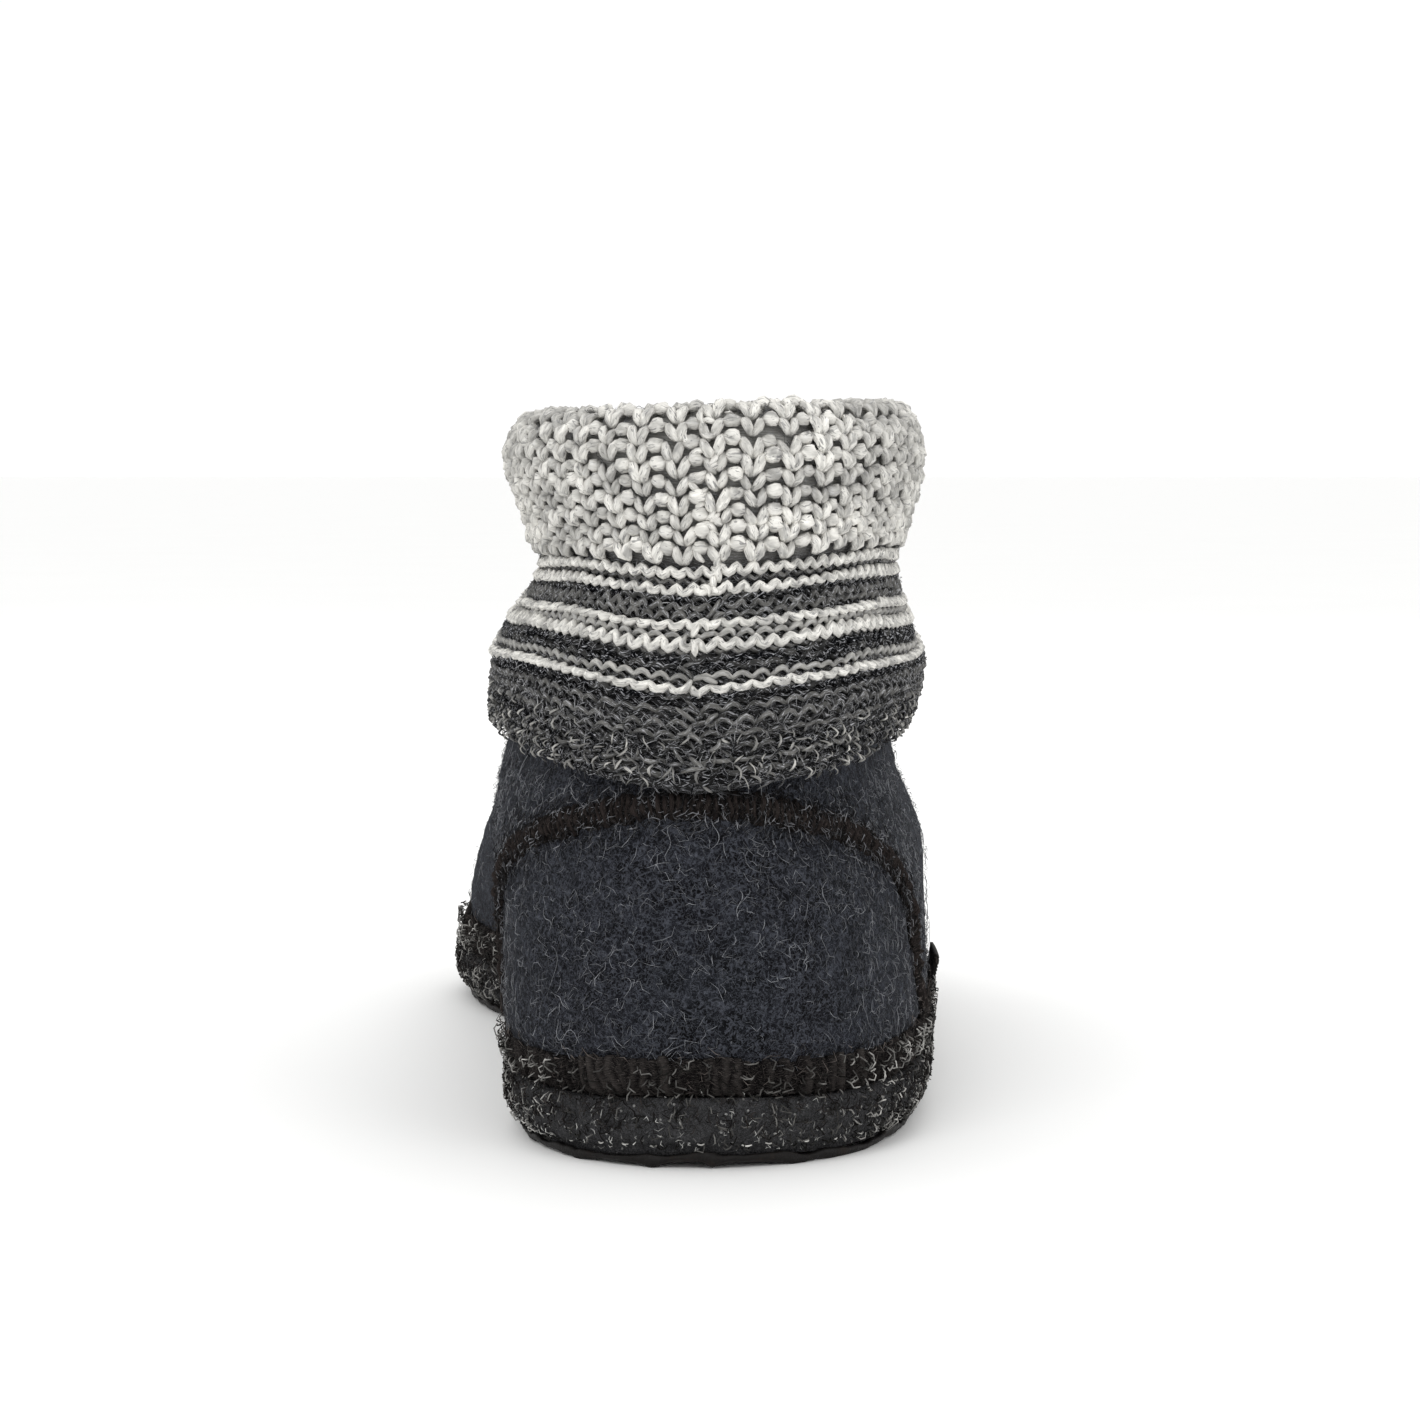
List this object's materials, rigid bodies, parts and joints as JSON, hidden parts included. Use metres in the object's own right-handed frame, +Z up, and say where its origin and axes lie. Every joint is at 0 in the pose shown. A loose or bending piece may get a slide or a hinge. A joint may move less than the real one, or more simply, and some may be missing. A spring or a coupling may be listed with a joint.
{
  "type": "house slipper",
  "caption": "Ankle-high house slipper of boiled wool with a turned-down striped knit cuff, thick felt sole and thin rubber tread, for the right foot.",
  "frame": {"origin": "on the floor, on the flat lug under the middle of the heel", "axes": "+Z up, +Y from the heel to the toe, +X to the outer side of the right foot"},
  "size_m": [0.1071, 0.2796, 0.1362],
  "materials": {
    "black_rubber": "matt brown-black rubber",
    "marled_felt": "dark grey felt with light specks",
    "grey_felt": "plain grey felt",
    "navy_boiled_wool": "fuzzy boiled wool, blue-black with light hairs",
    "brown_black_overcast": "dense overcast stitches of matt yarn",
    "brown_black_yarn": "zigzag stitches of matt yarn",
    "black_tape": "ribbed woven tape, blank",
    "grey_marl_knit": "chunky wool knit, off-white above and striped grey below"
  },
  "bodies": {
    "root": {"outsole": "black_rubber", "felt_sole": "marled_felt", "insole": "grey_felt", "upper": "navy_boiled_wool", "welt": "brown_black_overcast", "heel_band": "brown_black_yarn", "side_tab": "black_tape", "cuff": "grey_marl_knit"}
  },
  "joints": []
}
